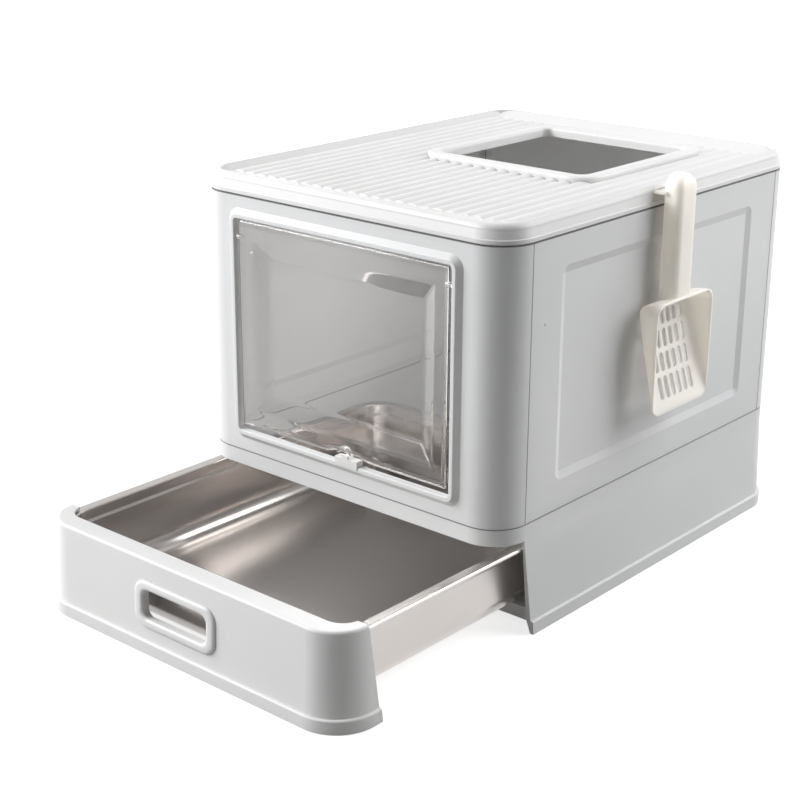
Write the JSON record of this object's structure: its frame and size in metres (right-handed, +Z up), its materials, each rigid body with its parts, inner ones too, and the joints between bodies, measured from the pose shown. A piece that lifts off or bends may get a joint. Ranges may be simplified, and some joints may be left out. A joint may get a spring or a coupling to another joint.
{
  "type": "drawer litter box",
  "caption": "Covered cat litter box with a clear flap door, a top exit hole in a fluted lid, a front drawer with a steel tray, and a hanging litter scoop.",
  "frame": {"origin": "on the floor, at the centre of the cabin's footprint (the drawer and scoop stand outside it)", "axes": "+Z up, +Y from the front panel to the back panel, +X to the right side, where the scoop hangs"},
  "size_m": [0.436, 0.741, 0.423],
  "materials": {
    "shell_plastic": "satin moulded plastic, cool light grey-white",
    "lid_plastic": "satin moulded plastic, white",
    "clear_plastic": "clear polished sheet",
    "sheet_steel": "pressed stainless sheet, fine brushed",
    "screw_steel": "plain stainless screw",
    "scoop_plastic": "satin moulded plastic, warm white"
  },
  "bodies": {
    "housing": {"base_frame": "shell_plastic", "front_panel": "shell_plastic", "back_panel": "shell_plastic", "left_panel": "shell_plastic", "right_panel": "shell_plastic"},
    "lid": {"lid": "lid_plastic"},
    "door": {"flap_door": "clear_plastic"},
    "latch": {"door_latch": "lid_plastic"},
    "drawer": {"drawer_front": "lid_plastic", "drawer_handle": "lid_plastic", "steel_tray": "sheet_steel", "tray_screws": "screw_steel"},
    "scoop": {"litter_scoop": "scoop_plastic"}
  },
  "joints": [
    {"name": "drawer_slide", "type": "slide", "parent": "housing", "child": "drawer", "axis": [0, -1, 0], "range_m": [-0.219, 0.24]},
    {"name": "door_hinge", "type": "hinge", "parent": "housing", "child": "door", "pos_m": [0, -0.2565, 0.348], "axis": [1, 0, 0], "range_deg": [-80, 80]},
    {"name": "latch_slide", "type": "slide", "parent": "housing", "child": "latch", "axis": [0, 0, 1], "range_m": [0, 0.0042]},
    {"name": "lid_lift", "type": "slide", "parent": "housing", "child": "lid", "axis": [0, 0, 1], "range_m": [0, 0.15]},
    {"name": "scoop_off", "type": "slide", "parent": "lid", "child": "scoop", "axis": [1, 0, 0], "range_m": [0, 0.12]}
  ]
}
